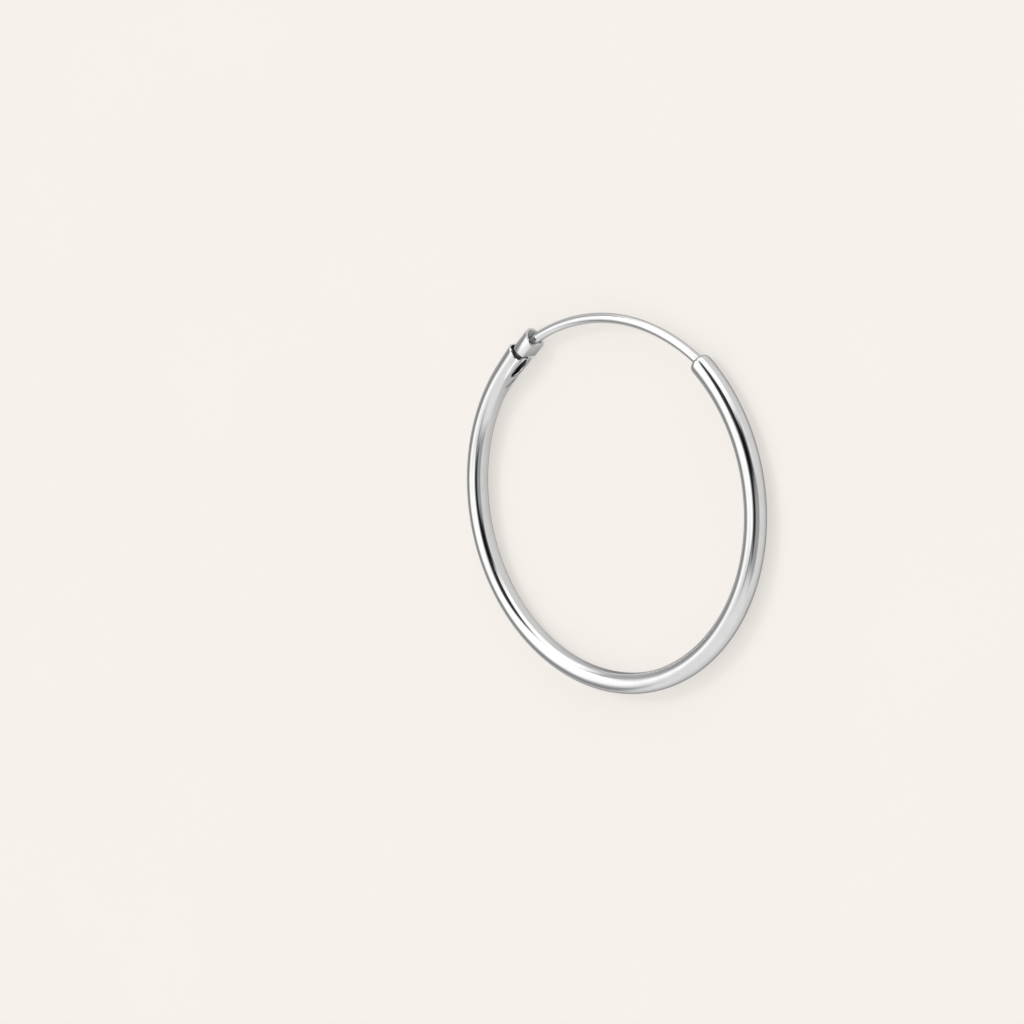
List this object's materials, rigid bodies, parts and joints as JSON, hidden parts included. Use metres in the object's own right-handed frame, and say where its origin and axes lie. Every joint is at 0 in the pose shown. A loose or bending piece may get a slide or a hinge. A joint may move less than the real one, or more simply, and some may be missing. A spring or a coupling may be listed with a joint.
{
  "type": "hoop earring",
  "caption": "Slim polished silver hoop earring: a hollow tube with a domed front end and a thin ear wire that springs into a straight catch tube at the rear.",
  "frame": {"origin": "under the middle of the bounding box, on the surface that the hoop lies on", "axes": "+Z is the hoop's own axis, across its slim side; +Y points from the middle of the hoop to the middle of the ear wire; +X points towards the side of the domed front end"},
  "size_m": [0.025, 0.0244, 0.0014],
  "materials": {
    "polished_tube": "bright polished silver",
    "polished_catch": "polished silver, a little softer than the tube",
    "polished_wire": "drawn and polished silver wire"
  },
  "bodies": {
    "root": {"hoop_tube": "polished_tube", "catch_tube": "polished_catch", "ear_wire": "polished_wire"}
  },
  "joints": []
}
